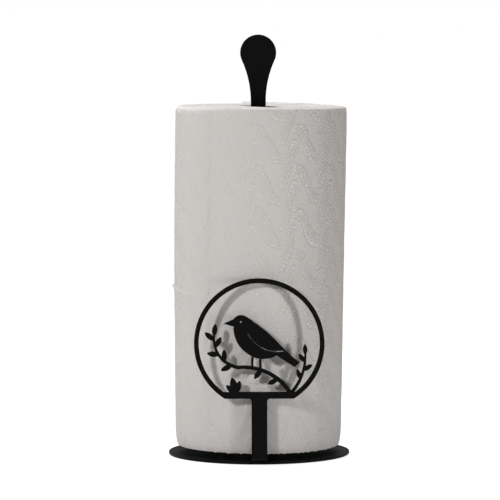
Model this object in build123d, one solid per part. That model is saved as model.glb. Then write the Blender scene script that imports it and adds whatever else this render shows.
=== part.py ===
from build123d import *
import math
import os

# A countertop paper towel holder of flat steel, with the roll that it carries.
# Frame: +Z up, origin on the post's axis at the underside of the base, front at -Y. Millimetres.

# The roll of towels
core_bore_radius = 20.0
core_wall = 1.5
core_height = 279.0
paper_height = 279.0
paper_stickout = 2.8  # how far the core stands out below the paper
core_fit = 0.15  # between the core and the innermost turn
roll_radius = 71.0  # at its top, where it is widest
roll_middle_inset = 0.8
roll_foot_inset = 2.7
roll_edge_round = 1.6
sheet_thickness = 0.6
sheet_gap = 0.15  # between the last sheet and the turn below it
sheet_length = 279.0
sheet_start_angle = 235.0  # where the last sheet leaves the turn before it
tail_length = 42.0  # free end of the last sheet
tail_lift = 2.8  # how far the free edge has sprung off the roll

# Flat steel of the post and the arm
bar_thickness = 3.2
bend_radius = 3.2  # inside radius of the bent feet

# Base
base_margin = 4.0  # base beyond the widest part of the roll
base_thickness = 2.5
base_rim_round = 0.7

# Centre post and its finial
post_width = 12.4
post_above_paper = 60.1
head_clearance = 5.1  # finial to core bore, on each side
neck_radius = 82.0
post_foot_overlap = 10.0  # post foot beyond the core's wall

# Front arm with its ring
arm_gap = 4.8  # widest part of the roll to the back of the arm
stem_width = 12.7
stem_rise = 51.8  # base to the underside of the cross bar
ring_radius = 52.8
ring_band = 3.8
bar_height = 5.3
chord_half_angle = 32.0  # half of the arc that the cross bar cuts off the ring
stem_corner_round = 2.4
arm_foot_overlap = 8.0  # arm foot inside the core's bore

# Cut-out picture: a bird on a leafy twig
drawn_radius = 49.0  # inside radius of the ring that the picture's points are drawn for
twig_root_width = 3.4
twig_middle_width = 2.7
twig_tip_width = 1.8
leaf_length = 10.5
leaf_width = 4.6
leg_width = 1.9
wing_slit = 1.0
eye_radius = 0.9
root_sink = 0.6  # how far a stalk or leaf runs into the steel that it grows from
tuft_sink = 1.3

# Screws from below
screw_radius = 2.0
screw_thread_gap = 0.08
screw_hole_gap = 0.2
screw_head_recess = 0.2
screw_head_land = 0.4  # base left above the head's cone
screw_tip_depth = 0.4  # screw tip below the top of the foot
screw_shares = (0.25, 0.75)  # places of the screws along the straight of a foot

# Worked out from the sizes above
core_outer_radius = core_bore_radius + core_wall
base_radius = roll_radius + base_margin
rim_round = min(base_rim_round, 0.4 * base_thickness)
foot_top = base_thickness + bar_thickness
bend_top = foot_top + bend_radius
core_low = foot_top
paper_low = core_low + paper_stickout
paper_high = paper_low + paper_height
paper_middle = (paper_low + paper_high) / 2
head_radius = core_bore_radius - head_clearance
wrap_radius = roll_radius - roll_middle_inset
sheet_wrap_angle = math.degrees((sheet_length - tail_length) / wrap_radius)
post_top = paper_high + post_above_paper
post_half = post_width / 2
post_foot_end = core_outer_radius + post_foot_overlap
post_back = bar_thickness / 2
arm_back = -(roll_radius + arm_gap)
arm_front = arm_back - bar_thickness
arm_foot_end = -(core_bore_radius - arm_foot_overlap)
ring_inner_radius = ring_radius - ring_band
chord_drop = ring_radius * math.cos(math.radians(chord_half_angle))
ring_centre = base_thickness + stem_rise + chord_drop
picture_floor = bar_height - chord_drop
picture_scale = ring_inner_radius / drawn_radius
screw_head_height = base_thickness - screw_head_recess - screw_head_land
screw_head_radius = screw_radius + screw_head_height
FROM_BELOW = (Align.CENTER, Align.CENTER, Align.MIN)


def screw_places(back, end):
    """Places along Y of a foot's screws, between its bend and its end."""
    start = back + bend_radius
    return [start + (end - start) * share for share in screw_shares]


post_screw_places = screw_places(post_back, post_foot_end)
arm_screw_places = screw_places(arm_back, arm_foot_end)


def screw_shape(y, radius, cone_gap, low, high):
    """A countersunk screw, or the hole for one, standing on its head at y."""
    head_low = screw_head_recess
    wide = screw_head_radius + cone_gap
    narrow = screw_radius + cone_gap
    cone = Pos(0, y, head_low) * Cone(wide, narrow, screw_head_height, align=FROM_BELOW)
    shank = Pos(0, y, low) * Cylinder(radius, high - low, align=FROM_BELOW)
    return cone + shank


def screws(places):
    """The screws of one foot, clear of the foot's thread and of the base's hole."""
    tip = foot_top - screw_tip_depth
    return Compound(
        [screw_shape(y, screw_radius, 0, screw_head_recess, tip).solid() for y in places]
    )


def base_plate():
    """Round plate with a countersunk hole for each screw."""
    plate = extrude(Circle(base_radius), base_thickness)
    plate = fillet(plate.edges(), rim_round)
    for y in post_screw_places + arm_screw_places:
        hole = screw_shape(y, screw_radius + screw_hole_gap, screw_thread_gap, 0, base_thickness)
        mouth = Pos(0, y, 0) * Cylinder(
            screw_head_radius + screw_thread_gap, screw_head_recess, align=FROM_BELOW
        )
        plate = plate - hole - mouth
    return plate


def bent_foot(face, end, width, places):
    """Bend and foot of a flat bar whose outer face is at y = face, with the foot's threads."""
    back = face + bar_thickness
    centre = back + bend_radius
    outer = bend_radius + bar_thickness
    slant = math.sqrt(0.5)
    outer_middle = (centre - outer * slant, bend_top - outer * slant)
    inner_middle = (centre - bend_radius * slant, bend_top - bend_radius * slant)
    outline = [
        ThreePointArc((face, bend_top), outer_middle, (centre, base_thickness)),
        Line((centre, base_thickness), (end, base_thickness)),
        Line((end, base_thickness), (end, foot_top)),
        Line((end, foot_top), (centre, foot_top)),
        ThreePointArc((centre, foot_top), inner_middle, (back, bend_top)),
        Line((back, bend_top), (face, bend_top)),
    ]
    foot = extrude(Plane.YZ * make_face(outline), width / 2, both=True)
    for y in places:
        thread = Cylinder(screw_radius + screw_thread_gap, bar_thickness, align=FROM_BELOW)
        foot = foot - Pos(0, y, base_thickness) * thread
    return foot


def post_outline():
    """Front view of the straight post: bar, hollow-sided neck and round head."""
    head_z = post_top - head_radius
    neck_x = post_half + neck_radius
    neck_drop = math.sqrt((neck_radius + head_radius) ** 2 - neck_x**2)
    neck_z = head_z - neck_drop
    join_angle = math.atan2(neck_drop, neck_x)
    join = (head_radius * math.cos(join_angle), head_z - head_radius * math.sin(join_angle))
    middle = (
        neck_x - neck_radius * math.cos(join_angle / 2),
        neck_z + neck_radius * math.sin(join_angle / 2),
    )

    def left(point):
        return (-point[0], point[1])

    foot_corner = (post_half, bend_top)
    neck_start = (post_half, neck_z)
    return make_face(
        [
            Line(foot_corner, neck_start),
            ThreePointArc(neck_start, middle, join),
            ThreePointArc(join, (0, post_top), left(join)),
            ThreePointArc(left(join), left(middle), left(neck_start)),
            Line(left(neck_start), left(foot_corner)),
            Line(left(foot_corner), foot_corner),
        ]
    )


def centre_post():
    """Flat bar with the paddle finial, on a foot that points to the back."""
    blade = extrude(Plane.XZ * post_outline(), post_back, both=True)
    return blade + bent_foot(-post_back, post_foot_end, post_width, post_screw_places)


def drawn(x, y):
    """A point of the picture, from the ring's centre."""
    return (x * picture_scale, y * picture_scale)


def stalk(start, via, end, root_width, tip_width):
    """Curved stalk that narrows from its root to its tip, with the arc that it follows."""
    path = ThreePointArc(start, via, end)
    left_side = []
    right_side = []
    for share in (0, 0.5, 1):
        half = (root_width + (tip_width - root_width) * share) / 2
        along = path % share
        across = Vector(-along.Y, along.X, 0) * half
        left_side.append(path @ share + across)
        right_side.append(path @ share - across)
    face = make_face(
        [
            ThreePointArc(*left_side),
            Line(left_side[2], right_side[2]),
            ThreePointArc(*reversed(right_side)),
            Line(right_side[0], left_side[0]),
        ]
    )
    return face, path


def leaf(foot, angle, size):
    """Pointed leaf of two arcs that starts at foot and points along angle."""
    length = leaf_length * size
    bulge = leaf_width * size / 2
    along = Vector(math.cos(math.radians(angle)), math.sin(math.radians(angle)), 0)
    across = Vector(-along.Y, along.X, 0)
    start = Vector(*foot) - along * root_sink
    tip = Vector(*foot) + along * length
    belly = Vector(*foot) + along * length * 0.45
    return make_face(
        [
            ThreePointArc(start, belly + across * bulge, tip),
            ThreePointArc(tip, belly - across * bulge, start),
        ]
    )


def leafy(path, shares, spread, size):
    """Leaves along a stalk's arc, by turns on its two sides, and one at its tip."""
    leaves = []
    for count, share in enumerate(shares):
        along = path % share
        heading = math.degrees(math.atan2(along.Y, along.X))
        side = 1 if count % 2 == 0 else -1
        place = path @ share
        leaves.append(leaf((place.X, place.Y), heading + side * spread, size))
    along = path % 1
    tip = path @ 1
    leaves.append(leaf((tip.X, tip.Y), math.degrees(math.atan2(along.Y, along.X)), size))
    return leaves


def bird():
    """Songbird facing left, with legs, an eye hole and the slit of its folded wing."""
    bill_top = drawn(-21.0, 19.6)
    bill_tip = drawn(-28.5, 16.2)
    chin = drawn(-20.6, 13.8)
    nape = drawn(-5.5, 18.4)
    tail_top = drawn(32.5, -15.5)
    tail_low = drawn(28.6, -19.2)
    vent = drawn(14.0, -9.6)
    back = Spline(bill_top, drawn(-14.0, 23.0), nape, drawn(6.0, 9.6), drawn(17.0, -1.2), tail_top)
    front = Spline(vent, drawn(2.0, -12.4), drawn(-12.0, -6.4), drawn(-19.6, 5.0), chin)
    shape = make_face(
        [
            back,
            Line(tail_top, tail_low),
            Line(tail_low, vent),
            front,
            Line(chin, bill_tip),
            Line(bill_tip, bill_top),
        ]
    )
    for x in (-5.0, 1.5):
        leg, _ = stalk(drawn(x, -8.0), drawn(x - 0.7, -14.0), drawn(x - 0.4, -20.5), leg_width, leg_width)
        shape = shape + leg
    wing, _ = stalk(drawn(-9.5, 8.5), drawn(0.5, -2.6), drawn(19.5, -6.2), wing_slit, wing_slit)
    eye = Pos(*drawn(-14.8, 17.4)) * Circle(eye_radius)
    return shape - wing - eye


def picture():
    """The cut-out picture: the bird on its perch, a bough that climbs on, a sprig and a tuft."""
    floor = picture_floor - root_sink
    perch_root = (drawn(25.0, 0)[0], floor)
    sprig_root = (drawn(26.0, 0)[0], floor)
    tuft_root = (drawn(-19.0, 0)[0], picture_floor - tuft_sink)
    perch, perch_path = stalk(
        perch_root, drawn(6.0, -23.4), drawn(-17.0, -19.4), twig_root_width, twig_middle_width
    )
    bough, bough_path = stalk(
        drawn(-16.0, -19.6), drawn(-31.5, -11.0), drawn(-36.5, 6.5), twig_middle_width, twig_tip_width
    )
    sprig, sprig_path = stalk(
        sprig_root, drawn(34.4, -26.0), drawn(37.2, -9.0), twig_middle_width, twig_tip_width
    )
    leaves = leafy(bough_path, (0.18, 0.36, 0.55, 0.74, 0.9), 48, 0.92)
    leaves += leafy(sprig_path, (0.4, 0.62, 0.82), 44, 0.8)
    for share, angle in ((0.3, 205), (0.62, 232)):
        place = perch_path @ share
        leaves.append(leaf((place.X, place.Y), angle, 0.88))
    for angle, size in ((72, 1.05), (104, 1.3), (140, 1.0)):
        leaves.append(leaf(tuft_root, angle, size))
    drawing = bird() + perch + bough + sprig
    for blade in leaves:
        drawing = drawing + blade
    return drawing


def arm_outline():
    """Front view of the arm: stem, cross bar, ring and the picture inside it."""
    reach = 2 * ring_radius
    above_chord = Pos(0, -chord_drop) * Rectangle(reach, reach, align=(Align.CENTER, Align.MIN))
    above_bar = Pos(0, picture_floor) * Rectangle(reach, reach, align=(Align.CENTER, Align.MIN))
    hoop = Circle(ring_radius) & above_chord
    window = Circle(ring_inner_radius) & above_bar
    stem_low = bend_top - ring_centre
    stem = Pos(0, stem_low) * Rectangle(
        stem_width, -chord_drop - stem_low, align=(Align.CENTER, Align.MIN)
    )
    frame = hoop - window + stem
    corners = [
        corner
        for corner in frame.vertices()
        if abs(abs(corner.X) - stem_width / 2) < 0.01 and abs(corner.Y + chord_drop) < 0.01
    ]
    frame = fillet(corners, stem_corner_round)
    return Pos(0, ring_centre) * (frame + picture())


def front_arm():
    """Arm cut from one plate, on a foot that runs in under the roll."""
    plate = extrude(Plane.XZ * arm_outline(), bar_thickness)
    plate = Pos(0, arm_back, 0) * plate
    return plate + bent_foot(arm_front, arm_foot_end, stem_width, arm_screw_places)


def core_tube():
    """Cardboard tube, standing on the two feet."""
    tube = Circle(core_outer_radius) - Circle(core_bore_radius)
    return Pos(0, 0, core_low) * extrude(tube, core_height)


def roll_side(offset):
    """Side of the roll in the XZ plane, moved out by an offset: a slight barrel, narrower at the foot."""
    return ThreePointArc(
        (roll_radius - roll_foot_inset + offset, paper_low),
        (roll_radius - roll_middle_inset + offset, paper_middle),
        (roll_radius + offset, paper_high),
    )


def paper_roll():
    """Wound towels, with softened edges."""
    inner = core_outer_radius + core_fit
    side = roll_side(-sheet_thickness - sheet_gap)
    low = side @ 0
    high = side @ 1
    section = make_face(
        [
            side,
            Line(high, (inner, paper_high)),
            Line((inner, paper_high), (inner, paper_low)),
            Line((inner, paper_low), low),
        ]
    )
    section = fillet(section.vertices().sort_by(Axis.X)[-2:], roll_edge_round)
    return revolve(Plane.XZ * section, Axis.Z)


def loose_sheet():
    """Last towel: wrapped on the roll, then sprung off it along its free end."""
    inside = roll_side(-sheet_thickness)
    outside = roll_side(0)
    section = make_face(
        [
            inside,
            Line(inside @ 1, outside @ 1),
            outside,
            Line(outside @ 0, inside @ 0),
        ]
    )
    section = Plane.XZ * section
    wrap = revolve(Rot(0, 0, sheet_start_angle) * section, Axis.Z, sheet_wrap_angle)
    leave_angle = sheet_start_angle + sheet_wrap_angle
    tail_radius = 1 / (1 / wrap_radius - 2 * tail_lift / tail_length**2)
    shift = tail_radius - wrap_radius
    heading = math.radians(leave_angle)
    centre = (-shift * math.cos(heading), -shift * math.sin(heading), 0)
    tail_turn = math.degrees(tail_length / tail_radius)
    tail = revolve(Rot(0, 0, leave_angle) * section, Axis(centre, (0, 0, 1)), tail_turn)
    return wrap + tail


nodes = {
    "base_plate": base_plate(),
    "centre_post": centre_post(),
    "front_arm": front_arm(),
    "post_screws": screws(post_screw_places),
    "arm_screws": screws(arm_screw_places),
    "core_tube": core_tube(),
    "paper_roll": paper_roll(),
    "loose_sheet": loose_sheet(),
}
os.makedirs("parts", exist_ok=True)
for name, shape in nodes.items():
    export_step(shape, f"parts/{name}.step")
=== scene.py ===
import logging
import math
from contextlib import contextmanager
from dataclasses import dataclass, field
from enum import Enum
from typing import Callable, Dict, Iterator, List, Optional, Tuple, Union

import bmesh
import bpy
import numpy as np
from mathutils import Matrix, Vector


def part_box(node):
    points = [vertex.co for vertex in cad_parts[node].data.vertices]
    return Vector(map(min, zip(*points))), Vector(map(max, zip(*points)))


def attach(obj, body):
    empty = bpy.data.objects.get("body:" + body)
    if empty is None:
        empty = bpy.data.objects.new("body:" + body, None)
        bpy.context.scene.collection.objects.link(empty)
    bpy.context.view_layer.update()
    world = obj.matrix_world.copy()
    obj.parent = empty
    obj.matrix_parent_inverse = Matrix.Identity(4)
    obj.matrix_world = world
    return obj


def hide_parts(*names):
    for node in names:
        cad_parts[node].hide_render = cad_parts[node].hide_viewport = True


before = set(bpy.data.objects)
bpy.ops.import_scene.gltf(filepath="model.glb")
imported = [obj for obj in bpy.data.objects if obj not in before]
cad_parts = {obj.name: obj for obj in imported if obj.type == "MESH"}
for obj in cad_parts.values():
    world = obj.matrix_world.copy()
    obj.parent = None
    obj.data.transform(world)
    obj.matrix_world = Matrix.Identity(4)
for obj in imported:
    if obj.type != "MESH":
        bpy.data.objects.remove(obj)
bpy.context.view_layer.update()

LOG = logging.getLogger("towel_holder")
MM = 0.001
FULL_TURN = 2 * math.pi
TOUCH = 1e-6  # lengths and shares closer than this count as the same
MERGE = 2e-6  # a plate's points closer than this become one
SEAM = 1e-5  # angles closer than this count as the same
MOST_PARTS = 100  # an edge is cut into no more parts than this at a time
CORE_GAP = 0.15 * MM  # between the core and the towels wound on it
SHEET_MAP = "sheet"
Colour = Tuple[float, float, float, float]
Array = np.ndarray
Piece = bpy.types.Object
Material = bpy.types.Material
Value = Union["Shade", float]
Spread = Union["Shade", Array]


class Body(Enum):
    """The bodies that pieces move with."""

    HOLDER = "holder"
    CORE = "core"
    PAPER = "paper"


class Slot(Enum):
    """The finishes that the part's record names."""

    COAT = "black_coat"
    STEEL = "screw_steel"
    BOARD = "core_board"
    TOWEL = "towel_paper"


class Element(Enum):
    """What an edit-mode selection picks."""

    EDGES = "EDGE"
    FACES = "FACE"


class Shade:
    """A socket of a node tree, on which arithmetic adds Math nodes."""

    def __init__(self, recipe: "Recipe", socket: bpy.types.NodeSocket) -> None:
        """Keeps the recipe that the socket belongs to."""
        self.recipe = recipe
        self.socket = socket

    def __add__(self, other: Value) -> "Shade":
        """This plus another value."""
        return self.recipe.maths("ADD", self, other)

    def __radd__(self, other: Value) -> "Shade":
        """Another value plus this."""
        return self.recipe.maths("ADD", other, self)

    def __sub__(self, other: Value) -> "Shade":
        """This less another value."""
        return self.recipe.maths("SUBTRACT", self, other)

    def __rsub__(self, other: Value) -> "Shade":
        """Another value less this."""
        return self.recipe.maths("SUBTRACT", other, self)

    def __mul__(self, other: Value) -> "Shade":
        """This times another value."""
        return self.recipe.maths("MULTIPLY", self, other)

    def __rmul__(self, other: Value) -> "Shade":
        """Another value times this."""
        return self.recipe.maths("MULTIPLY", other, self)

    def __truediv__(self, other: Value) -> "Shade":
        """This divided by another value."""
        return self.recipe.maths("DIVIDE", self, other)

    def __rtruediv__(self, other: Value) -> "Shade":
        """Another value divided by this."""
        return self.recipe.maths("DIVIDE", other, self)

    def __lt__(self, other: Value) -> "Shade":
        """1 where this is less than another value, otherwise 0."""
        return self.recipe.maths("LESS_THAN", self, other)

    def size(self) -> "Shade":
        """This without its sign."""
        return self.recipe.maths("ABSOLUTE", self)

    def sine(self) -> "Shade":
        """Sine of this, in radians."""
        return self.recipe.maths("SINE", self)

    def cosine(self) -> "Shade":
        """Cosine of this, in radians."""
        return self.recipe.maths("COSINE", self)

    def root(self) -> "Shade":
        """Square root of this."""
        return self.recipe.maths("SQRT", self)

    def fraction(self) -> "Shade":
        """What is left of this after its whole part."""
        return self.recipe.maths("FRACT", self)

    def clipped(self) -> "Shade":
        """This held between 0 and 1."""
        return self.recipe.maths("ADD", self, 0.0, clamp=True)

    def eased(self) -> "Shade":
        """This held between 0 and 1, with gentle ends."""
        held = self.clipped()
        return held * held * (3.0 - held * 2.0)


class Recipe:
    """The node tree of one finish, from its first node to its output."""

    def __init__(self, owner: Union[Material, bpy.types.World]) -> None:
        """Empties the node tree of a material or a world.

        Args:
            owner: The material or world that the recipe fills.
        """
        owner.use_nodes = True
        self.owner = owner
        self.tree = owner.node_tree
        self.tree.nodes.clear()

    def node(
        self,
        kind: str,
        settings: Optional[Dict[str, object]] = None,
        inputs: Optional[Dict[Union[str, int], object]] = None,
    ) -> bpy.types.Node:
        """Adds a node.

        Args:
            kind: The node's type.
            settings: Its settings, set first.
            inputs: The values or links of its sockets.

        Returns:
            The node.
        """
        made = self.tree.nodes.new(kind)
        for name, value in (settings or {}).items():
            setattr(made, name, value)
        for name, value in (inputs or {}).items():
            if isinstance(value, Shade):
                self.tree.links.new(value.socket, made.inputs[name])
            else:
                made.inputs[name].default_value = value
        return made

    def out(self, node: bpy.types.Node, name: Union[str, int] = 0) -> Shade:
        """An output socket of a node, ready for arithmetic."""
        return Shade(self, node.outputs[name])

    def maths(self, operation: str, *values: Value, clamp: bool = False) -> Shade:
        """A Math node on up to three values."""
        settings = {"operation": operation, "use_clamp": clamp}
        return self.out(self.node("ShaderNodeMath", settings, dict(enumerate(values))))

    def noise(self, place: Shade, scale: float, detail: float = 2.0, rough: float = 0.5) -> Shade:
        """Soft noise from 0 to 1, with scale features to the metre."""
        inputs = {"Vector": place, "Scale": scale, "Detail": detail, "Roughness": rough}
        return self.out(self.node("ShaderNodeTexNoise", None, inputs), "Fac")

    def mix(self, share: Value, first: Union[Shade, Colour], second: Union[Shade, Colour]) -> Shade:
        """A colour between two colours."""
        node = self.node("ShaderNodeMix", {"data_type": "RGBA"}, {0: share, 6: first, 7: second})
        return self.out(node, 2)

    def stretched(self, place: Shade, x: float, y: float, z: float) -> Shade:
        """A place with each axis multiplied, for patterns that are longer one way."""
        return self.out(self.node("ShaderNodeMapping", None, {"Vector": place, "Scale": (x, y, z)}))

    def parts(self, place: Shade) -> Tuple[Shade, Shade, Shade]:
        """The x, y and z of a place."""
        node = self.node("ShaderNodeSeparateXYZ", None, {"Vector": place})
        return self.out(node, 0), self.out(node, 1), self.out(node, 2)

    def object_place(self) -> Shade:
        """The point on the piece, in metres in the part's frame."""
        return self.out(self.node("ShaderNodeTexCoord"), "Object")

    def sheet_place(self) -> Tuple[Shade, Shade]:
        """The point on the flat towel: metres along it, and metres up it."""
        across, up, _ = self.parts(self.out(self.node("ShaderNodeUVMap", {"uv_map": SHEET_MAP})))
        return across, up

    def finish(
        self, colour: Shade, roughness: Shade, height: Shade, depth: float, fixed: Dict[str, float]
    ) -> Material:
        """Ends the recipe in its surface.

        Args:
            colour: Base colour.
            roughness: Roughness.
            height: Relief from 0 to 1.
            depth: What a relief of 1 stands for, in metres.
            fixed: Values that are the same all over the surface.

        Returns:
            The material.
        """
        relief = {"Strength": 1.0, "Distance": depth, "Height": height}
        bump = self.node("ShaderNodeBump", None, relief)
        inputs = {"Base Color": colour, "Roughness": roughness, "Normal": self.out(bump)}
        surface = self.node("ShaderNodeBsdfPrincipled", None, {**inputs, **fixed})
        self.node("ShaderNodeOutputMaterial", None, {"Surface": self.out(surface)})
        return self.owner


@dataclass(frozen=True)
class PowderCoat:
    """Satin black powder coat with a fine orange peel."""

    dark: Colour = (0.0022, 0.0022, 0.0022, 1.0)
    light: Colour = (0.0042, 0.0042, 0.0041, 1.0)
    roughness: float = 0.5
    peel_gloss: float = 0.14
    cloud_gloss: float = 0.1
    peel_scale: float = 1100.0
    peel_depth: float = 0.07 * MM

    def material(self) -> Material:
        """Makes the material.

        Returns:
            The coat.
        """
        recipe = Recipe(bpy.data.materials.new("black_powder_coat"))
        place = recipe.object_place()
        peel = recipe.noise(place, self.peel_scale)
        speck = recipe.noise(place, self.peel_scale * 4, detail=1.0)
        cloud = recipe.noise(place, scale=45.0, detail=3.0)
        colour = recipe.mix(cloud * 0.6 + speck * 0.4, self.dark, self.light)
        rough = self.roughness + (peel - 0.5) * self.peel_gloss + (cloud - 0.5) * self.cloud_gloss
        fixed = {"Specular IOR Level": 0.055}
        return recipe.finish(colour, rough, peel * 0.7 + speck * 0.3, self.peel_depth, fixed)


@dataclass(frozen=True)
class ScrewSteel:
    """Plated steel, turned, with faint scratches."""

    dark: Colour = (0.36, 0.36, 0.37, 1.0)
    light: Colour = (0.5, 0.5, 0.5, 1.0)
    roughness: float = 0.34
    scratch_gloss: float = 0.2
    scratch_depth: float = 0.02 * MM

    def material(self) -> Material:
        """Makes the material.

        Returns:
            The steel.
        """
        recipe = Recipe(bpy.data.materials.new("plated_screw_steel"))
        place = recipe.object_place()
        cloud = recipe.noise(place, scale=700.0, detail=3.0)
        scratch = recipe.noise(recipe.stretched(place, x=1.0, y=9.0, z=1.0), scale=1500.0)
        colour = recipe.mix(cloud, self.dark, self.light)
        rough = self.roughness + (scratch - 0.5) * self.scratch_gloss
        return recipe.finish(colour, rough, scratch, self.scratch_depth, {"Metallic": 1.0})


@dataclass(frozen=True)
class CoreBoard:
    """Grey-brown tube board, wound in a spiral."""

    dark: Colour = (0.27, 0.185, 0.115, 1.0)
    light: Colour = (0.46, 0.345, 0.235, 1.0)
    seam: Colour = (0.2, 0.135, 0.08, 1.0)
    lead: float = 118 * MM
    seam_from: float = 0.488
    seam_edge: float = 160.0
    roughness: float = 0.86
    fibre_gloss: float = 0.12
    depth: float = 0.12 * MM

    def material(self) -> Material:
        """Makes the material.

        Returns:
            The board.
        """
        recipe = Recipe(bpy.data.materials.new("core_board"))
        place = recipe.object_place()
        x, y, z = recipe.parts(place)
        turn = recipe.maths("ARCTAN2", y, x) / FULL_TURN
        strip = (turn + z / self.lead).fraction()
        seam = (((strip - 0.5).size() - self.seam_from) * self.seam_edge).clipped()
        grain = recipe.stretched(place, x=1.0, y=1.0, z=0.35)
        fibre = recipe.noise(grain, scale=900.0, detail=5.0, rough=0.65)
        cloud = recipe.noise(place, scale=60.0, detail=3.0)
        board = recipe.mix(fibre * 0.7 + cloud * 0.3, self.dark, self.light)
        colour = recipe.mix(seam, board, self.seam)
        rough = self.roughness + (fibre - 0.5) * self.fibre_gloss
        fixed = {"Specular IOR Level": 0.25}
        return recipe.finish(colour, rough, fibre * 0.5 - seam, self.depth, fixed)


@dataclass(frozen=True)
class Stroke:
    """S-shaped strokes of one direction, repeated across the towel and up it."""

    middle: float
    level: float
    reach: float
    slope: float
    swing: float = 1.2
    flat_ends: float = 0.2
    samples: int = 4096
    terms: int = 7

    @property
    def wavenumber(self) -> float:
        """Radians of the S to the metre."""
        return math.pi / self.reach

    def curve(self, off: Spread, sine: Spread, double_sine: Spread) -> Spread:
        """Height of the stroke's line, from the sines of its angle."""
        bend = sine * self.swing + double_sine * (self.flat_ends / 2)
        return (off + bend / self.wavenumber) * self.slope

    def steepness(self, cosine: Spread, double_cosine: Spread) -> Spread:
        """Slope of the stroke's line, from the cosines of its angle."""
        lean = cosine * self.swing + double_cosine * self.flat_ends
        return (lean + 1.0) * self.slope

    def run_terms(self) -> List[float]:
        """Fourier terms of the length along the stroke per length across.

        Returns:
            The mean, then the terms of the cosines.
        """
        angle = np.linspace(0, FULL_TURN, self.samples, endpoint=False)
        run = np.sqrt(1 + self.steepness(np.cos(angle), np.cos(2 * angle)) ** 2)
        waves = [2 * (run * np.cos(number * angle)).mean() for number in range(1, self.terms + 1)]
        return [float(term) for term in [run.mean(), *waves]]


@dataclass(frozen=True)
class WeavePattern:
    """Embossed pairs of dotted strokes, falling and rising by turns like wickerwork."""

    across: float = 35 * MM
    repeat: float = 34 * MM
    width: float = 5.0 * MM
    dot_pitch: float = 3.0 * MM
    dot_reach: float = 1.5 * MM
    dot_fade: float = 2.6 * MM
    groove_reach: float = 2.6 * MM
    groove_fade: float = 4.5 * MM
    groove_blend: float = 0.3
    band_blend: float = 0.5
    puff: float = 0.12 * MM
    puff_reach: float = 4.2 * MM
    puff_past: float = 2.0 * MM
    puff_fade: float = 4.0 * MM
    strokes: Tuple[Stroke, ...] = (
        Stroke(middle=83.0 * MM, level=218.0 * MM, reach=15.0 * MM, slope=-0.86),
        Stroke(
            middle=66.5 * MM, level=235.5 * MM, reach=9.8 * MM, slope=1.65, swing=0.8, flat_ends=0.0
        ),
    )

    def puffed(self, along: Array, up: Array) -> Array:
        """How far the towel stands out along the strokes.

        Args:
            along: Metres along the towel.
            up: Metres up it.

        Returns:
            Heights in metres.
        """
        half_across, half_repeat = self.across / 2, self.repeat / 2
        relief = np.zeros_like(along)
        for stroke in self.strokes:
            off = (along - stroke.middle + half_across) % self.across - half_across
            angle = off * stroke.wavenumber
            curve = stroke.curve(off, np.sin(angle), np.sin(2 * angle))
            above = (up - stroke.level - curve + half_repeat) % self.repeat - half_repeat
            steep = stroke.steepness(np.cos(angle), np.cos(2 * angle))
            near = above / np.sqrt(1 + steep * steep) / self.puff_reach
            inside = eased((stroke.reach + self.puff_past - np.abs(off)) / self.puff_fade)
            relief = np.maximum(relief, np.exp(-(near**4)) * inside)
        return self.puff * (relief - 0.5)

    def masks(self, recipe: Recipe, along: Shade, up: Shade) -> Tuple[Shade, Shade, Shade]:
        """Masks of the embossed strokes.

        Args:
            recipe: The finish that the masks are for.
            along: Metres along the towel.
            up: Metres up it.

        Returns:
            Masks of the dots, of the grooves beside them, and of the soft bands between the rows.
        """
        dots: Value = 0.0
        grooves: Value = 0.0
        bands: Value = 0.0
        for stroke in self.strokes:
            column = ((along - stroke.middle) / self.across + 0.5).fraction()
            off = column * self.across - self.across / 2
            angle = off * stroke.wavenumber
            curve = stroke.curve(off, angle.sine(), (angle * 2.0).sine())
            steep = stroke.steepness(angle.cosine(), (angle * 2.0).cosine())
            mean, *terms = stroke.run_terms()
            run = off * mean
            for number, term in enumerate(terms, 1):
                wave = (angle * float(number)).sine()
                run = run + wave * (term / (number * stroke.wavenumber))
            left = stroke.reach - off.size()
            inside = (left / self.dot_fade).eased()
            fading = (left / self.groove_fade).eased()
            row = (up - curve - stroke.level) / self.repeat + 0.5
            gap = (row.fraction() - 0.5) * self.repeat / (steep * steep + 1.0).root()
            beat = ((run + gap * steep) * (FULL_TURN / self.dot_pitch)).cosine() * 0.5 + 0.5
            beside = gap.size() - self.width / 2
            near = (1.0 - beside * beside / self.dot_reach**2).clipped()
            wide = (1.0 - beside * beside / self.groove_reach**2).eased()
            band = (1.0 - gap * gap / self.puff_reach**2).eased() * fading
            groove = wide * (1.0 - near * (beat * 0.5 + 0.5)) * fading
            dots = recipe.maths("MAXIMUM", dots, near * near * beat * inside)
            grooves = recipe.maths("SMOOTH_MAX", grooves, groove, self.groove_blend)
            bands = recipe.maths("SMOOTH_MAX", bands, band, self.band_blend)
        return dots, grooves, bands


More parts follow.
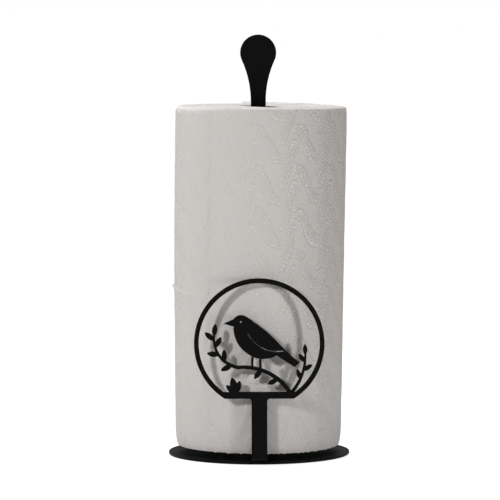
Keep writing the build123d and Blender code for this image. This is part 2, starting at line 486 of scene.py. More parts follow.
@dataclass(frozen=True)
class TowelPaper:
    """Soft white towel: embossed dots, a fine mesh and loose fibres, with painted shade and
    highlights.
    """

    dark: Colour = (0.735, 0.702, 0.675, 1.0)
    light: Colour = (0.785, 0.75, 0.722, 1.0)
    # painted shade: the colour of the grooves beside the dotted rows, the mesh's hollows and the
    # perforation slits
    painted_pit_shade: Colour = (0.64, 0.61, 0.583, 1.0)
    # painted highlight: the colour of the embossed dots and the mesh's crests
    painted_lit_crest: Colour = (0.95, 0.917, 0.888, 1.0)
    pattern: WeavePattern = field(default_factory=WeavePattern)
    mesh_pitch: float = 2.8 * MM
    depth: float = 0.34 * MM
    perforation: float = 5.0 * MM
    slit_half: float = 0.22 * MM
    slit_share: float = 0.72
    sway: float = 6.0 * MM
    worn_middle: float = 6.0 * MM
    worn_reach: float = 80.0 * MM
    handled_from: float = 40.0 * MM
    handled_reach: float = 130.0 * MM
    least_crisp: float = 0.22
    roughness: float = 0.88
    fibre_gloss: float = 0.12

    def material(self) -> Material:
        """Makes the material.

        Returns:
            The paper of the towels' faces.
        """
        recipe = Recipe(bpy.data.materials.new("towel_paper"))
        place = recipe.object_place()
        along, up = recipe.sheet_place()
        mirrored = recipe.stretched(place, x=1.0, y=1.0, z=-1.0)
        sway = (recipe.noise(place, scale=62.0, detail=0.0) - 0.5) * self.sway
        drift = (recipe.noise(mirrored, scale=55.0, detail=0.0) - 0.5) * self.sway
        dots, grooves, bands = self.pattern.masks(recipe, along + sway, up + drift)
        turn = FULL_TURN / self.mesh_pitch
        weave = (along * turn).sine() * (up * turn).sine() * 0.5
        fibre = recipe.noise(place, scale=1500.0, detail=4.0, rough=0.6)
        cloud = recipe.noise(place, scale=55.0, detail=3.0)
        grain = recipe.noise(place, scale=620.0) - 0.5
        cut = (up / self.perforation).fraction() < self.slit_share
        slit = (along.size() < self.slit_half) * cut
        unworn = ((along - self.worn_middle).size() / self.worn_reach).clipped()
        handled = 0.5 + ((up - self.handled_from) / self.handled_reach).clipped() * 0.5
        crisp = unworn * (unworn * 0.75 + 0.35) * handled + self.least_crisp
        tissue = weave * 0.5 + grain
        dots = dots * (recipe.noise(place, scale=330.0, detail=1.0) * 1.6 + 0.1).clipped()
        paper = recipe.mix(fibre * 0.35 + cloud * 0.65, self.dark, self.light)
        # painted shade: grooves, mesh hollows and perforation slits darkened towards the pit colour
        sunk = ((grooves * 0.95 - tissue * 1.3) * crisp + slit * 0.3).clipped()
        # painted highlight: dots and mesh crests lightened towards the crest colour
        raised = ((dots * 0.8 + tissue * 0.9) * crisp).clipped()
        colour = recipe.mix(raised, recipe.mix(sunk, paper, self.painted_pit_shade), self.painted_lit_crest)
        emboss = (tissue * 0.8 + dots - grooves * 0.5) * crisp
        height = fibre * 0.2 + emboss + bands * 0.8 - slit * 0.3
        rough = self.roughness + (fibre - 0.5) * self.fibre_gloss
        fixed = {"Specular IOR Level": 0.15, "Sheen Weight": 0.06, "Sheen Roughness": 0.6}
        return recipe.finish(colour, rough, height, self.depth, fixed)


@dataclass(frozen=True)
class TowelEnds:
    """Cut edges of the wound towels: fine turns with soft shadows between them."""

    dark: Colour = (0.62, 0.59, 0.57, 1.0)
    light: Colour = (0.84, 0.805, 0.785, 1.0)
    turn: float = 0.52 * MM
    wander: float = 1.4
    depth: float = 0.28 * MM
    roughness: float = 0.9
    fibre_gloss: float = 0.1

    def material(self) -> Material:
        """Makes the material.

        Returns:
            The paper of the roll's top end.
        """
        recipe = Recipe(bpy.data.materials.new("towel_ends"))
        place = recipe.object_place()
        out, round_share = recipe.sheet_place()
        drift = recipe.noise(place, scale=130.0)
        fibre = recipe.noise(place, scale=1700.0, detail=4.0, rough=0.6)
        layer = (out / self.turn + round_share + drift * self.wander).fraction()
        painted_lit_crest = 1.0 - (layer - 0.5).size() * 2.0
        ridge = painted_lit_crest * (2.0 - painted_lit_crest)
        patch = recipe.noise(place, scale=240.0, detail=3.0)
        tone = (ridge * 0.55 + fibre * 0.25 + patch * 0.35 - 0.05).clipped()
        colour = recipe.mix(tone, self.dark, self.light)
        rough = self.roughness + (fibre - 0.5) * self.fibre_gloss
        fixed = {"Specular IOR Level": 0.15}
        return recipe.finish(colour, rough, ridge * 0.6 + fibre * 0.4, self.depth, fixed)


def pick_only(piece: Piece) -> None:
    """Makes a piece the only selected one, and the active one.

    Args:
        piece: The piece.
    """
    bpy.ops.object.select_all(action="DESELECT")
    piece.select_set(True)
    bpy.context.view_layer.objects.active = piece


@contextmanager
def editing(piece: Piece) -> Iterator[None]:
    """Edit mode on one piece, left again at the end.

    Args:
        piece: The piece.

    Yields:
        Nothing, while edit mode is on.
    """
    pick_only(piece)
    bpy.ops.object.mode_set(mode="EDIT")
    yield
    bpy.ops.object.mode_set(mode="OBJECT")


def choose(piece: Piece, element: Element, wanted: Callable[[Vector], bool]) -> None:
    """Selects elements of a piece in edit mode by where their middle is.

    Args:
        piece: The piece in edit mode.
        element: Edges or faces.
        wanted: Whether an element with its middle there is picked.
    """
    bpy.ops.mesh.select_mode(type=element.value)
    bpy.ops.mesh.select_all(action="DESELECT")
    mesh = bmesh.from_edit_mesh(piece.data)
    for item in mesh.edges if element is Element.EDGES else mesh.faces:
        middle = sum((vert.co for vert in item.verts), Vector()) / len(item.verts)
        item.select_set(wanted(middle))
    mesh.select_flush_mode()
    bmesh.update_edit_mesh(piece.data)


def apply_modifier(piece: Piece, kind: str, **settings: object) -> None:
    """Adds a modifier to a piece and applies it.

    Args:
        piece: The piece.
        kind: The modifier's type.
        **settings: Its settings.
    """
    pick_only(piece)
    bpy.ops.object.modifier_add(type=kind)
    modifier = piece.modifiers[-1]
    for name, value in settings.items():
        setattr(modifier, name, value)
    bpy.ops.object.modifier_apply(modifier=modifier.name)


def settle(piece: Piece, name: str) -> Piece:
    """Names a piece and puts its place into its mesh.

    Args:
        piece: The piece.
        name: Its name.

    Returns:
        The same piece.
    """
    pick_only(piece)
    bpy.ops.object.transform_apply(location=True, rotation=True, scale=True)
    piece.name = name
    piece.data.name = name
    return piece


def smooth(piece: Piece, angle: float) -> None:
    """Shades a piece smooth but for edges sharper than an angle in degrees."""
    pick_only(piece)
    bpy.ops.object.shade_smooth_by_angle(angle=math.radians(angle))


def keep_flats(piece: Piece) -> None:
    """Shades large faces flat up to their softened edges."""
    apply_modifier(piece, "WEIGHTED_NORMAL", mode="FACE_AREA", weight=100, keep_sharp=True)


def dress(piece: Piece, body: Body, slot: Slot, nodes: List[str], *finishes: Material) -> None:
    """Gives a piece its finishes, ties it to the body that it moves with, and hides the solids that
    it stands for.

    Args:
        piece: The piece.
        body: The body that it moves with.
        slot: The record's finish; not used.
        nodes: The solids that it stands for.
        *finishes: Its materials, in the order of its faces' numbers.
    """
    numbers = read(piece.data.polygons, "material_index")
    piece.data.materials.clear()
    for finish in finishes:
        piece.data.materials.append(finish)
    piece.data.polygons.foreach_set("material_index", np.minimum(numbers, len(finishes) - 1))
    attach(piece, body.value)
    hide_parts(*nodes)
    LOG.info("%s: %d faces on %s", piece.name, len(piece.data.polygons), body.value)


def read(items: bpy.types.bpy_prop_collection, name: str, width: int = 1) -> Array:
    """Reads a property of all vertices, corners or faces of a mesh.

    Args:
        items: The vertices, corners or faces.
        name: The property.
        width: How many numbers it has for each of them.

    Returns:
        A list of whole numbers, or rows of fractions where the width is more than 1.
    """
    values = np.zeros(len(items) * width, np.int32 if width == 1 else float)
    items.foreach_get(name, values)
    return values if width == 1 else values.reshape(-1, width)


def points_of(piece: Piece) -> Array:
    """The piece's vertices as rows of x, y and z."""
    return read(piece.data.vertices, "co", width=3)


def move_points(piece: Piece, points: Array) -> None:
    """Puts the piece's vertices at new places."""
    piece.data.vertices.foreach_set("co", points.astype(np.float32).ravel())
    piece.data.update()


def lay_map(piece: Piece, values: Array) -> None:
    """Gives the piece its flat map, from a row of two values for each corner."""
    layer = piece.data.uv_layers.new(name=SHEET_MAP)
    layer.data.foreach_set("uv", values.astype(np.float32).ravel())


def section(low: Tuple[float, float], high: Tuple[float, float]) -> Piece:
    """An upright rectangle of edges beside the axis, to be turned about it.

    Args:
        low: Inner radius and lowest height.
        high: Outer radius and highest height.

    Returns:
        The piece, with its four edges and no face.
    """
    bpy.ops.mesh.primitive_plane_add(
        size=1.0,
        location=((low[0] + high[0]) / 2, 0, (low[1] + high[1]) / 2),
        rotation=(math.pi / 2, 0, 0),
    )
    piece = bpy.context.object
    piece.scale = (high[0] - low[0], high[1] - low[1], 1.0)
    settle(piece, "section")
    with editing(piece):
        bpy.ops.mesh.select_all(action="SELECT")
        bpy.ops.mesh.delete(type="ONLY_FACE")
    return piece


def divide(piece: Piece, parts: int, wanted: Callable[[Vector], bool]) -> None:
    """Divides the edges of a section that lie in a place, in passes that subdivide allows.

    Args:
        piece: The section.
        parts: How many equal parts each edge becomes.
        wanted: Whether an edge with its middle there is divided.
    """
    with editing(piece):
        while parts > 1:
            counts = range(min(parts, MOST_PARTS), 0, -1)
            share = next(count for count in counts if parts % count == 0)
            choose(piece, Element.EDGES, wanted)
            bpy.ops.mesh.subdivide(number_cuts=share - 1)
            parts //= share


def turn_about_axis(piece: Piece, turns: List[Tuple[float, int]]) -> None:
    """Spins a section about the upright axis in stretches, and closes it.

    Args:
        piece: The section.
        turns: Degrees and steps of each stretch, which add up to a full turn.
    """
    with editing(piece):
        bpy.ops.mesh.select_all(action="SELECT")
        for degrees, steps in turns:
            angle = math.radians(degrees)
            bpy.ops.mesh.spin(steps=steps, angle=angle, axis=(0, 0, 1), use_auto_merge=False)
        bpy.ops.mesh.select_all(action="SELECT")
        bpy.ops.mesh.remove_doubles(threshold=TOUCH)
        bpy.ops.mesh.normals_make_consistent(inside=False)


def eased(share: Array) -> Array:
    """A share from 0 to 1 that starts and ends gently."""
    held = np.clip(share, 0, 1)
    return held * held * (3 - 2 * held)


def bell(distance: Array) -> Array:
    """A smooth hump of height 1 at no distance, about gone at two."""
    return np.exp(-(distance**2))


def scattered(number: Array, step: float = 12.9898, gain: float = 43758.5453) -> Array:
    """A share from -0.5 to 0.5 that looks random, the same each run, for each number."""
    spread = np.sin(number * step) * gain
    return spread - np.floor(spread) - 0.5


@dataclass
class SteelStand:
    """Base, post and arm of flat steel, with the coat's softened edges."""

    coat: PowderCoat = field(default_factory=PowderCoat)
    edge: float = 0.32 * MM
    edge_angle: float = 38.0
    flat_angle: float = 0.4
    plates: Tuple[str, ...] = ("base_plate", "centre_post", "front_arm")

    def plate(self, node: str) -> Piece:
        """Copies a plate and breaks its sharp edges.

        Args:
            node: The plate's solid.

        Returns:
            The coated plate.
        """
        piece = bpy.data.objects.new(f"{node}_coated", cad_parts[node].data.copy())
        bpy.context.scene.collection.objects.link(piece)
        with editing(piece):
            bpy.ops.mesh.select_all(action="SELECT")
            bpy.ops.mesh.remove_doubles(threshold=MERGE)
            bpy.ops.mesh.dissolve_limited(angle_limit=math.radians(self.flat_angle))
        apply_modifier(
            piece,
            "BEVEL",
            width=self.edge,
            segments=2,
            limit_method="ANGLE",
            angle_limit=math.radians(self.edge_angle),
        )
        with editing(piece):
            bpy.ops.mesh.select_all(action="SELECT")
            bpy.ops.mesh.remove_doubles(threshold=MERGE)
            bpy.ops.mesh.dissolve_degenerate(threshold=MERGE)
        smooth(piece, angle=30)
        keep_flats(piece)
        return piece

    def build(self) -> None:
        """Makes the three plates."""
        coat = self.coat.material()
        for node in self.plates:
            dress(self.plate(node), Body.HOLDER, Slot.COAT, [node], coat)


@dataclass
class FootScrews:
    """Countersunk screws with a hexagon socket, up through the base into a foot."""

    node: str
    head_radius: float = 3.9 * MM
    head_height: float = 1.9 * MM
    head_edge: float = 0.14 * MM
    shank_radius: float = 2.0 * MM
    tip_edge: float = 0.35 * MM
    socket_width: float = 2.5 * MM
    socket_depth: float = 1.3 * MM
    facets: int = 48

    def screw(self, y: float, low: float, high: float) -> Piece:
        """Models one screw.

        Args:
            y: Where it stands.
            low: Underside of its head.
            high: Its tip.

        Returns:
            The screw.
        """
        bpy.ops.mesh.primitive_cone_add(
            vertices=self.facets,
            radius1=self.head_radius,
            radius2=self.shank_radius,
            depth=self.head_height,
            location=(0, y, low + self.head_height / 2),
        )
        piece = settle(bpy.context.object, "screw")
        neck = low + self.head_height
        with editing(piece):
            choose(piece, Element.FACES, lambda middle: middle.z > neck - TOUCH)
            bpy.ops.mesh.extrude_region_move(TRANSFORM_OT_translate={"value": (0, 0, high - neck)})
            bpy.ops.mesh.bevel(offset=self.tip_edge, segments=2, affect="EDGES")
            choose(piece, Element.FACES, lambda middle: middle.z < low + TOUCH)
            bpy.ops.mesh.bevel(offset=self.head_edge, segments=2, affect="EDGES")
        bpy.ops.mesh.primitive_cylinder_add(
            vertices=6,
            radius=self.socket_width / math.sqrt(3),
            depth=2 * self.socket_depth,
            location=(0, y, low),
        )
        cutter = bpy.context.object
        apply_modifier(piece, "BOOLEAN", operation="DIFFERENCE", object=cutter, solver="EXACT")
        bpy.data.objects.remove(cutter)
        smooth(piece, angle=28)
        keep_flats(piece)
        return piece

    def build(self, steel: Material) -> None:
        """Models the first screw and copies it to the second place.

        Args:
            steel: Finish of the screws.
        """
        low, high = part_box(self.node)
        first = self.screw(low.y + self.head_radius, low.z, high.z)
        second = first.copy()
        second.data = first.data.copy()
        bpy.context.scene.collection.objects.link(second)
        step = high.y - low.y - 2 * self.head_radius
        second.data.transform(Matrix.Translation((0, step, 0)))
        pick_only(first)
        second.select_set(True)
        bpy.ops.object.join()
        settle(first, f"{self.node}_turned")
        dress(first, Body.HOLDER, Slot.STEEL, [self.node], steel)


@dataclass
class CoreTube:
    """Spiral-wound board tube, a little uneven at its cut ends."""

    board: CoreBoard = field(default_factory=CoreBoard)
    wall: float = 1.5 * MM
    seam_width: float = 1.6 * MM
    seam_depth: float = 0.12 * MM
    ragged: float = 0.18 * MM
    rows: int = 140
    steps: int = 120

    def build(self) -> None:
        """Turns the tube from its section and presses the seam into it."""
        low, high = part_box("core_tube")
        outer = high.x
        piece = section((outer - self.wall, low.z), (outer, high.z))
        middle = outer - self.wall / 2
        divide(piece, self.rows, lambda at: abs(at.x - middle) > self.wall / 4)
        turn_about_axis(piece, [(360.0, self.steps)])
        points = points_of(piece)
        radius = np.hypot(points[:, 0], points[:, 1])
        angle = np.arctan2(points[:, 1], points[:, 0])
        turn = angle / FULL_TURN
        strip = (turn + points[:, 2] / self.board.lead) % 1.0
        off_seam = np.minimum(strip, 1 - strip) * self.board.lead
        sink = self.seam_depth * bell(off_seam / self.seam_width)
        outside = radius > middle
        radius = np.where(outside, radius - sink, radius + sink)
        top = points[:, 2] > high.z - TOUCH
        notched = 0.5 + 0.5 * np.sin(angle * 5) * np.sin(turn * 44)
        points[:, 2] -= top * self.ragged * notched
        radius += ~outside * self.ragged * (0.5 + 0.5 * np.sin(angle * 2 + points[:, 2] * 9))
        points[:, 0] = radius * np.cos(angle)
        points[:, 1] = radius * np.sin(angle)
        move_points(piece, points)
        smooth(piece, angle=40)
        settle(piece, "core_tube_wound")
        dress(piece, Body.CORE, Slot.BOARD, ["core_tube"], self.board.material())


@dataclass
class RollForm:
    """Outer shape of the towels as they stand: a taper, a lean and soft shoulders."""

    inner: float
    low: float
    high: float
    crown: float = 70.9 * MM
    foot_inset: float = 2.2 * MM
    foot_power: float = 1.7
    foot_tuck: float = 1.6 * MM
    tuck_height: float = 4.5 * MM
    foot_drop: float = 0.9 * MM
    drop_angle: float = math.radians(305)
    lean_foot: float = -0.75 * MM
    lean_slope: float = 0.0024
    lean_bend: float = 0.027
    top_lift: float = 0.85 * MM
    top_tilt: float = 0.012
    shoulder_fall: float = 8.5 * MM
    shoulder_inset: float = 1.15 * MM
    shoulder_round: float = 0.98
    worn_fall: float = -3.0 * MM
    worn_inset: float = 3.2 * MM
    oval: float = 0.16 * MM
    three_lobes: float = 0.12 * MM
    five_lobes: float = 0.08 * MM
    wrap_radius: float = 70.2 * MM
    sheet_length: float = 279 * MM
    tail_length: float = 42 * MM
    tail_lift: float = 1.7 * MM
    start: float = math.radians(235.0)
    covered: float = math.radians(227.0)
    climb_from: float = 150 * MM
    climb_height: float = 1.8 * MM
    crease_angle: float = math.radians(181.0)
    crease_height: float = 140.9 * MM
    crease_fall: float = 5.8 * MM
    crease_tall: float = 1.05 * MM
    crease_peak: float = 0.75 * MM
    crease_above: float = 0.8 * MM
    crease_below: float = 2.3 * MM
    pattern: WeavePattern = field(default_factory=WeavePattern)

    @property
    def leave(self) -> float:
        """Angle at which the last sheet's free end leaves the roll."""
        return self.start + (self.sheet_length - self.tail_length) / self.wrap_radius

    @property
    def free_edge(self) -> float:
        """Angle of the last sheet's free edge."""
        return self.start + self.covered

    def lean(self, z: Array) -> Array:
        """How far the towels stand to the right at a height."""
        return self.lean_foot + self.lean_slope * z + self.lean_bend * z * z

    def top(self, angle: Array) -> Array:
        """Height of the towels' top edge at an angle."""
        return self.high + self.top_lift - self.top_tilt * self.crown * np.cos(angle)

    def bottom(self, angle: Array) -> Array:
        """Height of the towels' bottom edge at an angle, lowest at the front right."""
        return self.low - self.foot_drop * (0.5 + 0.5 * np.cos(angle - self.drop_angle)) ** 3

    def climb(self, along: Array) -> Array:
        """How far the last sheet stands above the roll at a place along it."""
        share = (along - self.climb_from) / (self.sheet_length - self.climb_from)
        return self.climb_height * np.clip(share, 0, 1)

    def radius(self, angle: Array, z: Array) -> Array:
        """Outer radius of the towels, without their emboss.

        Args:
            angle: Angles round the post.
            z: Heights.

        Returns:
            Radii in metres.
        """
        share = np.clip((z - self.low) / (self.high - self.low), 0, 1)
        plain = self.crown - self.foot_inset * (1 - share) ** self.foot_power
        tuck = self.foot_tuck * np.exp(-(z - self.low) / self.tuck_height)
        worn = np.clip(np.cos(angle - math.pi), 0, 1) ** 2
        fall = self.shoulder_fall + self.worn_fall * worn
        into = np.clip(1 - (self.top(angle) - z) / fall, 0, 1)
        inset = self.shoulder_inset + self.worn_inset * worn
        shoulder = inset * (1 - np.sqrt(1 - self.shoulder_round * into * into))
        uneven = (
            self.oval * np.sin(2 * angle + 0.7) * np.sin(math.pi * share)
            + self.three_lobes * np.sin(3 * angle - 1.1 + 2.4 * share)
            + self.five_lobes * np.sin(5 * angle + 8.0 * share)
        )
        return plain - tuck - shoulder + uneven

    def crease(self, angle: Array, z: Array) -> Array:
        """A pinched crease on the left side, highest at the outline.

        Args:
            angle: Angles round the post.
            z: Heights.

        Returns:
            How far it stands out, in metres.
        """
        past = angle - self.crease_angle
        line = self.crease_height - self.crease_fall * np.tanh(np.clip(past, 0, 2) / 0.45)
        along = bell(past / np.where(past > 0, 0.64, 0.12))
        across = (z - line) / np.where(z > line, self.crease_above, self.crease_below)
        tall = self.crease_tall + self.crease_peak * bell(past / 0.14)
        return tall * along * bell(across)

    def place(self, angle: Array, radius: Array, z: Array, share: Array) -> Array:
        """Points at an angle, radius and height, moved over by a share of the lean."""
        x = radius * np.cos(angle) + self.lean(z) * share
        return np.stack([x, radius * np.sin(angle), z], axis=1)


@dataclass
class WoundTowels:
    """The roll below the last sheet, with the turns at its top end."""

    form: RollForm
    rows: int = 244
    row_marks: Tuple[int, ...] = (0, 14, 100, 140, 226, 244)
    height_marks: Tuple[float, ...] = (0, 0.025, 0.43, 0.5, 0.975, 1)
    rings: int = 58
    open_steps: int = 186
    covered_steps: int = 62
    overlap: float = 0.9
    depth: float = 0.52 * MM
    first_angle: float = math.radians(60.0)
    loose_step: float = 0.42 * MM
    loose_swing: float = 0.16 * MM
    end_crown: float = 0.35 * MM
    raised_share: float = 0.94
    lip: float = 0.95 * MM
    lip_angle: float = math.radians(215.0)
    lip_spread: float = 0.75
    lip_reach: float = 0.16

    def build(self, paper: Material, ends: Material) -> None:
        """Turns the roll from its section and shapes it.

        Args:
            paper: Finish of the side.
            ends: Finish of the top end.
        """
        form = self.form
        edge = form.crown
        piece = section((form.inner, form.low), (edge, form.high))
        divide(piece, self.rows, lambda at: at.x > edge - TOUCH)
        divide(piece, self.rings, lambda at: form.inner + TOUCH < at.x < edge - TOUCH)
        exposed = math.degrees(form.start - self.first_angle) + self.overlap
        stretches = [(exposed, self.open_steps), (360.0 - exposed, self.covered_steps)]
        turn_about_axis(piece, stretches)
        self.shape(piece)
        smooth(piece, angle=50)
        settle(piece, "towel_roll_wound")
        dress(piece, Body.PAPER, Slot.TOWEL, ["paper_roll"], paper, ends)

    def shape(self, piece: Piece) -> None:
        """Moves the turned section's points to the towels' real form, and maps it.

        Args:
            piece: The turned section.
        """
        form = self.form
        points = points_of(piece)
        radius = np.hypot(points[:, 0], points[:, 1])
        angle = np.arctan2(points[:, 1], points[:, 0]) % FULL_TURN
        angle = np.where(angle > FULL_TURN - SEAM, 0.0, angle) + self.first_angle
        row = (points[:, 2] - form.low) / (form.high - form.low) * self.rows
        share = np.interp(row, self.row_marks, self.height_marks)
        ring = (radius - form.inner) / (form.crown - form.inner)
        side = ring > 1 - TOUCH
        top = share > 1 - TOUCH
        z = form.bottom(angle) + share * (form.top(angle) - form.bottom(angle))
        along = (angle - form.start) * form.wrap_radius
        bare = angle < form.start + SEAM
        behind = form.free_edge - FULL_TURN
        sunk = self.depth * (1 - eased((angle - behind) / (form.start - behind)))
        sunk = np.where(bare, sunk, self.depth)
        relief = form.pattern.puffed(along, z - form.low) * bare + form.crease(angle, z)
        outer = form.radius(angle, z) - sunk + relief * side
        radius = form.inner + ring * (outer - form.inner)
        z = z + top * self.end_relief(ring, angle)
        move_points(piece, form.place(angle, radius, z, ring))
        turn = angle / FULL_TURN
        flat = np.where(top & ~side, [radius, turn], [along, z - form.low]).T
        self.map_faces(piece, top, ring, turn, flat)

    def end_relief(self, ring: Array, angle: Array) -> Array:
        """How far the turns of paper stand above the plane of the top end.

        Args:
            ring: Shares of the way from the core to the outside.
            angle: Angles round the post.

        Returns:
            Heights in metres.
        """
        form = self.form
        number = np.round(ring * self.rings)
        swing = np.sin(angle * (1 + number % 3) + number * 2.1)
        slipped = self.loose_step * scattered(number) + self.loose_swing * swing
        loose = slipped * np.clip((1 - ring) * 4, 0, 1)
        past = np.where(angle < form.free_edge - FULL_TURN, angle + FULL_TURN, angle) - form.start
        raised = self.raised_share * form.climb(past * form.wrap_radius) * ring**8
        lip = bell((angle - self.lip_angle) / self.lip_spread) * eased(1 - ring / self.lip_reach)
        crown = self.end_crown * np.sin(math.pi * ring)
        return loose + crown + raised + self.lip * lip

    def map_faces(self, piece: Piece, top: Array, ring: Array, turn: Array, flat: Array) -> None:
        """Numbers the faces of the top end and lays its map and that of the other faces.

        Args:
            piece: The roll.
            top: Which vertices are on the top end.
            ring: Shares of the way from the core to the outside.
            turn: Turns round the post.
            flat: Rows of the other faces' map, such as metres along the towel and up it.
        """
        corners = read(piece.data.loops, "vertex_index")
        counts = read(piece.data.polygons, "loop_total")
        starts = np.cumsum(counts) - counts
        end_face = np.logical_and.reduceat(top[corners], starts)
        piece.data.polygons.foreach_set("material_index", end_face.astype(np.int32))
        on_end = np.repeat(end_face, counts)[:, None]
        highest = np.repeat(np.maximum.reduceat(turn[corners], starts), counts)
        turn = turn[corners] + (turn[corners] < highest - 0.5)
        out = ring[corners] * (self.form.crown - self.form.inner)
        lay_map(piece, np.where(on_end, np.stack([out, turn], axis=1), flat[corners]))


@dataclass
class LastSheet:
    """The last towel, wrapped on the roll, with its free end sprung off at the back."""

    form: RollForm
    columns: int = 218
    rows: int = 218
    row_marks: Tuple[int, ...] = (0, 12, 204, 218)
    height_marks: Tuple[float, ...] = (0, 0.025, 0.98, 1)
    thickness: float = 0.4 * MM
    torn: float = 0.3 * MM
    calm_share: float = 0.85
    calm_from: float = 70 * MM
    calm_reach: float = 55 * MM
    tail_turn: float = 1.27
    long_wave: float = 0.5 * MM
    short_wave: float = 0.25 * MM
    coarse_rag: float = 0.5 * MM
    fine_rag: float = 0.3 * MM
    foot_rag_reach: float = 0.02
    top_rag_reach: float = 0.015
    top_rag_share: float = 0.15

    def build(self, paper: Material) -> None:
        """Lays a flat towel round the roll.

        Args:
            paper: Its finish.
        """
        form = self.form
        bpy.ops.mesh.primitive_grid_add(
            x_subdivisions=self.columns, y_subdivisions=self.rows, size=form.sheet_length
        )
        piece = settle(bpy.context.object, "last_sheet")
        self.wrap(piece)
        settings = {"thickness": self.thickness, "offset": -1.0, "use_even_offset": True}
        apply_modifier(piece, "SOLIDIFY", **settings)
        smooth(piece, angle=50)
        dress(piece, Body.PAPER, Slot.TOWEL, ["loose_sheet"], paper)

    def wrap(self, piece: Piece) -> None:
        """Moves the flat towel's points round the roll and out along the free end.

        Args:
            piece: The flat towel.
        """
        form = self.form
        points = points_of(piece)
        share = points[:, 0] / form.sheet_length + 0.5
        row = (points[:, 1] / form.sheet_length + 0.5) * self.rows
        rise = np.interp(row, self.row_marks, self.height_marks)
        along = share * form.sheet_length
        tooth = np.where(np.round(row) % 2 > 0, self.torn, -self.torn) * (share > 1 - TOUCH)
        wrapped = form.sheet_length - form.tail_length
        free = np.clip(along + tooth - wrapped, 0, None)
        heading = form.start + np.minimum(along, wrapped) / form.wrap_radius
        height = form.low + rise * (form.high - form.low)
        calm = eased((height - form.high + self.calm_from) / self.calm_reach)
        lift = form.tail_lift * (1 - self.calm_share * calm)
        tail_radius = 1 / (1 / form.wrap_radius - 2 * lift / form.tail_length**2)
        shift = tail_radius - form.wrap_radius
        swing = free / tail_radius
        angle = heading + swing * self.tail_turn
        z = form.bottom(angle) + rise * (form.top(angle) - form.bottom(angle))
        waves = self.long_wave * np.sin(z * 26.0 + 0.8) + self.short_wave * np.sin(z * 61.0)
        radius = form.radius(angle, z) + form.pattern.puffed(along, z - form.low)
        radius = radius + (free / form.tail_length) ** 2 * waves
        reach = radius + shift
        out_x = reach * np.cos(form.leave + swing) - shift * np.cos(form.leave)
        out_y = reach * np.sin(form.leave + swing) - shift * np.sin(form.leave)
        on_tail = free > 0
        x = np.where(on_tail, out_x, radius * np.cos(heading)) + form.lean(z)
        y = np.where(on_tail, out_y, radius * np.sin(heading))
        coarse = np.sin(along * 870.0 + 1.4 * np.sin(along * 210.0)) * np.sin(along * 263.0 + 0.6)
        fine = np.sin(along * 1490.0) * np.sin(along * 97.0)
        foot = np.clip(1 - rise / self.foot_rag_reach, 0, 1)
        top = np.clip(1 - (1 - rise) / self.top_rag_reach, 0, 1)
        strayed = self.coarse_rag * coarse + self.fine_rag * fine
        edged = z + form.climb(along) + strayed * (foot + self.top_rag_share * top)
        move_points(piece, np.stack([x, y, edged], axis=1))
        flat = np.stack([along, z - form.low], axis=1)
        lay_map(piece, flat[read(piece.data.loops, "vertex_index")])


def toward(side: float, tilt: float) -> Vector:
    """Direction from the part: side is its angle right of the front, tilt its angle up."""
    level = math.cos(tilt)
    return Vector((math.sin(side) * level, -math.cos(side) * level, math.sin(tilt)))


@dataclass
class Lamp:
    """A soft lamp of the studio, with its angles in degrees from the camera's side."""

    name: str
    azimuth: float
    elevation: float
    distance: float
    size: float
    power: float

    def build(self, aim: Vector) -> None:
        """Hangs the lamp.

        Args:
            aim: The point that it shines on.
        """
        place = toward(math.radians(self.azimuth), math.radians(self.elevation))
        light = bpy.data.lights.new(self.name, "AREA")
        light.shape = "DISK"
        light.size = self.size
        light.energy = self.power
        lamp = bpy.data.objects.new(self.name, light)
        lamp.location = aim + place * self.distance
        lamp.rotation_euler = place.to_track_quat("Z", "Y").to_euler()
        bpy.context.scene.collection.objects.link(lamp)


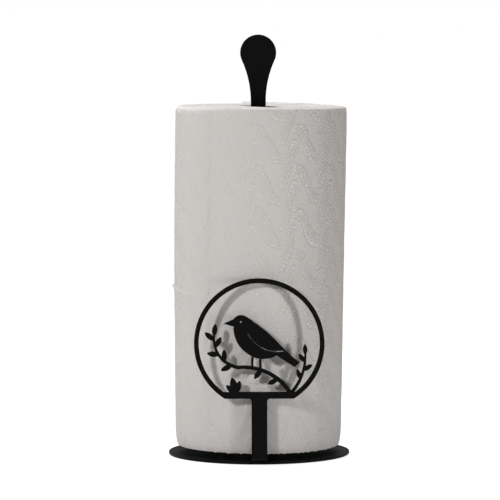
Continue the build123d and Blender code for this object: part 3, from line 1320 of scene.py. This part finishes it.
@dataclass
class Studio:
    """White studio: floor, lamps and the camera."""

    camera_place: Tuple[float, float, float] = (-0.01253, -2.9929, 0.3837)
    yaw: float = 0.0018
    pitch: float = 0.0715
    roll: float = -0.0025
    lens: float = 260.67
    sensor: float = 36.0
    far_limit: float = 50.0
    ambient: float = 0.022
    white: Colour = (1.0, 1.0, 1.0, 1.0)
    near_floor: Colour = (0.8, 0.8, 0.8, 1.0)
    floor_paint: Colour = (0.55, 0.55, 0.55, 1.0)
    floor_size: float = 40.0
    floor_drop: float = 0.3 * MM
    far_gloss: float = 0.42
    aim: Tuple[float, float, float] = (0.0, 0.0, 0.15)
    lamps: Tuple[Lamp, ...] = (
        Lamp("key_left_front", -35.0, 21.0, distance=1.6, size=0.2, power=8.85),
        Lamp("side_right", 47.0, -1.0, distance=1.1, size=0.12, power=3.15),
        Lamp("wide_left", -95.0, 27.0, distance=1.6, size=1.3, power=7.9),
        Lamp("top_back", 180.0, 80.0, distance=1.6, size=0.8, power=20.8),
    )

    def set_camera(self) -> None:
        """Places the camera."""
        ahead = -toward(-self.yaw, self.pitch)
        right = Vector((math.cos(self.yaw), -math.sin(self.yaw), 0))
        up = right.cross(ahead)
        turned_right = right * math.cos(self.roll) + up * math.sin(self.roll)
        turned_up = up * math.cos(self.roll) - right * math.sin(self.roll)
        data = bpy.data.cameras.new("camera")
        data.lens = self.lens
        data.sensor_width = self.sensor
        data.clip_end = self.far_limit
        camera = bpy.data.objects.new("camera", data)
        axes = Matrix((turned_right, turned_up, -ahead)).transposed().to_4x4()
        camera.matrix_world = Matrix.Translation(self.camera_place) @ axes
        bpy.context.scene.collection.objects.link(camera)
        bpy.context.scene.camera = camera

    def set_world(self) -> None:
        """Lights the room softly and shows it white, also in reflections of its far side."""
        world = bpy.data.worlds.new("white_room")
        recipe = Recipe(world)
        path = recipe.node("ShaderNodeLightPath")
        _, far, _ = recipe.parts(recipe.out(recipe.node("ShaderNodeTexCoord"), "Generated"))
        behind = (far * 1.4 + 0.3).clipped() * self.far_gloss
        shown = recipe.out(path, "Is Camera Ray") + recipe.out(path, "Is Transmission Ray")
        shown = (shown + recipe.out(path, "Is Glossy Ray") * behind).clipped()
        soft, white = (
            recipe.node("ShaderNodeBackground", None, {"Color": self.white, "Strength": strength})
            for strength in (self.ambient, 1.0)
        )
        inputs = {0: shown, 1: recipe.out(soft), 2: recipe.out(white)}
        both = recipe.node("ShaderNodeMixShader", None, inputs)
        recipe.node("ShaderNodeOutputWorld", None, {"Surface": recipe.out(both)})
        bpy.context.scene.world = world

    def lay_floor(self) -> None:
        """Lays the pale floor, which keeps the object's shadow."""
        bpy.ops.mesh.primitive_plane_add(size=self.floor_size, location=(0, 0, -self.floor_drop))
        floor = settle(bpy.context.object, "floor")
        recipe = Recipe(bpy.data.materials.new("pale_floor"))
        path = recipe.node("ShaderNodeLightPath")
        paint = recipe.node("ShaderNodeBsdfDiffuse", None, {"Color": self.floor_paint})
        x, y, _ = recipe.parts(recipe.object_place())
        away = ((x * x + y * y).root() * 1.6 - 0.25).clipped()
        shine = {"Strength": 1.0, "Color": recipe.mix(away, self.near_floor, self.white)}
        glow = recipe.node("ShaderNodeEmission", None, shine)
        sum_inputs = {0: recipe.out(paint), 1: recipe.out(glow)}
        lit = recipe.node("ShaderNodeAddShader", None, sum_inputs)
        seen = (recipe.out(path, "Is Camera Ray") + recipe.out(path, "Is Glossy Ray")).clipped()
        inputs = {0: seen, 1: recipe.out(paint), 2: recipe.out(lit)}
        both = recipe.node("ShaderNodeMixShader", None, inputs)
        recipe.node("ShaderNodeOutputMaterial", None, {"Surface": recipe.out(both)})
        floor.data.materials.append(recipe.owner)

    def build(self) -> None:
        """Sets up the whole studio."""
        bpy.context.scene.view_settings.view_transform = "Standard"
        self.set_camera()
        self.set_world()
        self.lay_floor()
        for lamp in self.lamps:
            lamp.build(Vector(self.aim))


def main() -> None:
    """Builds the holder and its roll, and the studio round them."""
    logging.basicConfig(level=logging.INFO, format="%(name)s %(message)s")
    Studio().build()
    SteelStand().build()
    steel = ScrewSteel().material()
    for node in ("post_screws", "arm_screws"):
        FootScrews(node).build(steel)
    CoreTube().build()
    roll_low, roll_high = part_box("paper_roll")
    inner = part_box("core_tube")[1].x + CORE_GAP
    form = RollForm(inner=inner, low=roll_low.z, high=roll_high.z)
    paper = TowelPaper().material()
    WoundTowels(form).build(paper, TowelEnds().material())
    LastSheet(form).build(paper)


if __name__ == "__main__":
    main()
